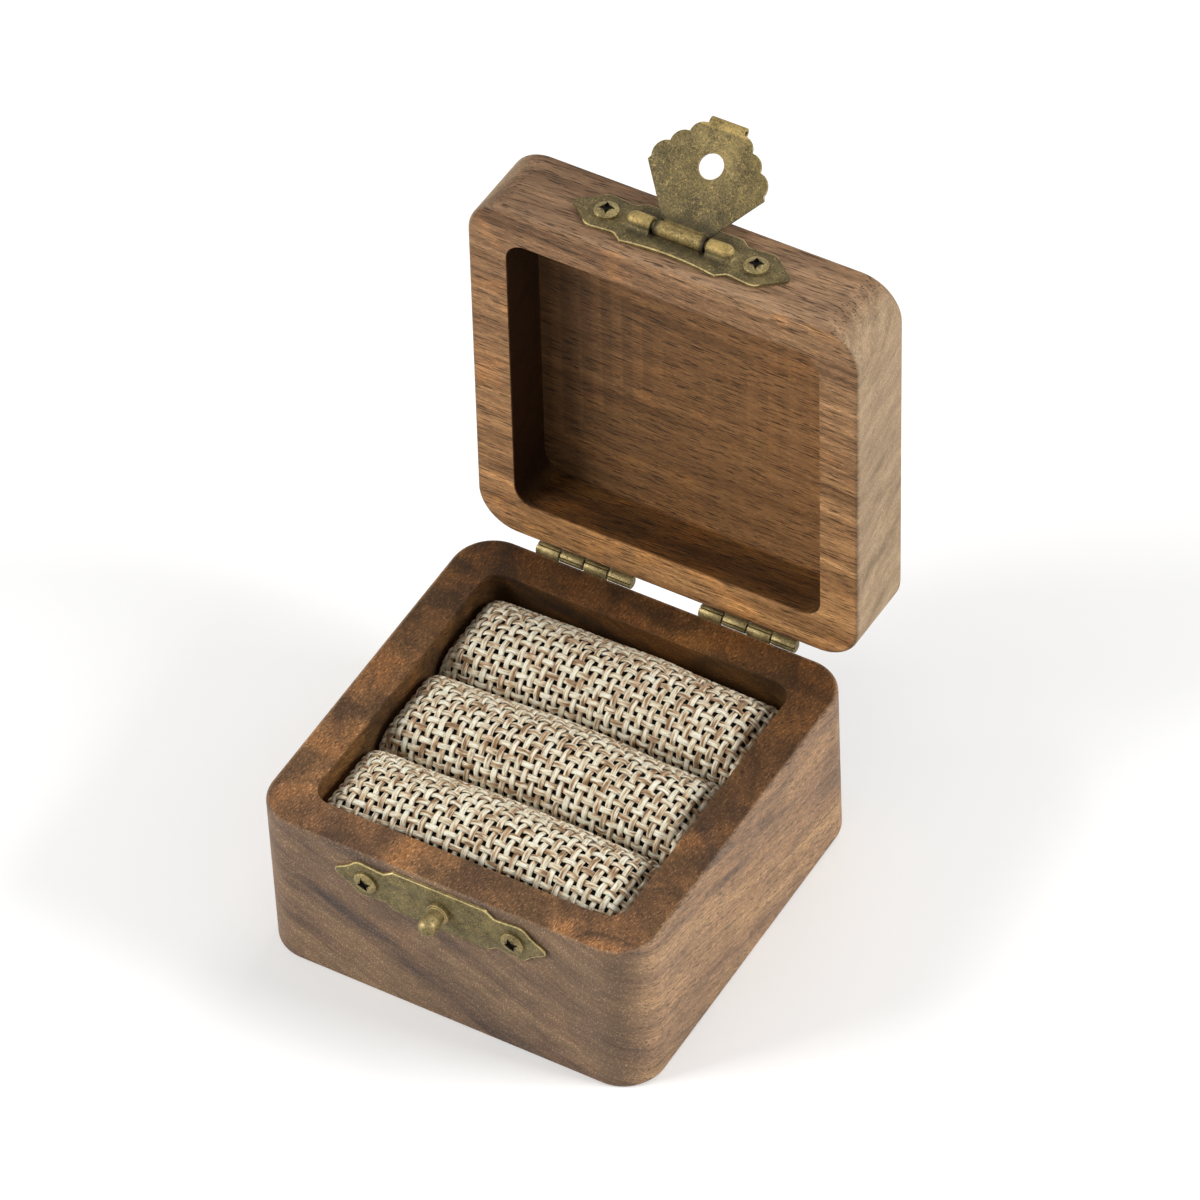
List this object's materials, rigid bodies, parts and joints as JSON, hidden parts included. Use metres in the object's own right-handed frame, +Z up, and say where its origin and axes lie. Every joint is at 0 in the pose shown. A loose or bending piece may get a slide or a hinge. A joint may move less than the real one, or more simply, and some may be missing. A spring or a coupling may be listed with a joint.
{
  "type": "ring display box",
  "caption": "Small square walnut box with a hinged lid, a swinging hasp over a front stud and padded burlap rolls that hold rings upright between them.",
  "frame": {"origin": "middle of the base's flat underside, which rests on the table", "axes": "+X to the right along the hinge line, -Y to the front where the hasp closes, +Z up; rest pose is the lid open at 92 degrees with the hasp's flap swung back"},
  "size_m": [0.06, 0.0877, 0.0982],
  "materials": {
    "walnut": "oiled, satin, open pores",
    "burlap": "coarse plain weave, matt",
    "foam": "black open-cell foam, matt",
    "card": "greyboard, matt",
    "bronze": "antique bronze plating, rubbed",
    "pin": "antique bronze plating, rubbed",
    "screw": "antique bronze plating, rubbed"
  },
  "bodies": {
    "base": {"base_box": "walnut", "insert_board": "card", "foam_back": "foam", "foam_middle": "foam", "foam_front": "foam", "cover_back": "burlap", "cover_middle": "burlap", "cover_front": "burlap", "hinge_left_base_leaf": "bronze", "hinge_left_pin": "pin", "hinge_right_base_leaf": "bronze", "hinge_right_pin": "pin", "hinge_base_screws": "screw", "catch_plate": "bronze", "catch_stud": "bronze", "catch_screws": "screw"},
    "lid": {"lid_box": "walnut", "hinge_left_lid_leaf": "bronze", "hinge_right_lid_leaf": "bronze", "hinge_lid_screws": "screw", "hasp_plate": "bronze", "hasp_pin": "pin", "hasp_screws": "screw"},
    "flap": {"hasp_flap": "bronze"}
  },
  "joints": [
    {"name": "lid_hinge", "type": "hinge", "parent": "base", "child": "lid", "pos_m": [0, 0.0309, 0.02705], "axis": [1, 0, 0], "range_deg": [-78, 92]},
    {"name": "flap_hinge", "type": "hinge", "parent": "lid", "child": "flap", "pos_m": [0, 0.03871, 0.08886], "axis": [1, 0, 0], "range_deg": [0, 140]}
  ]
}
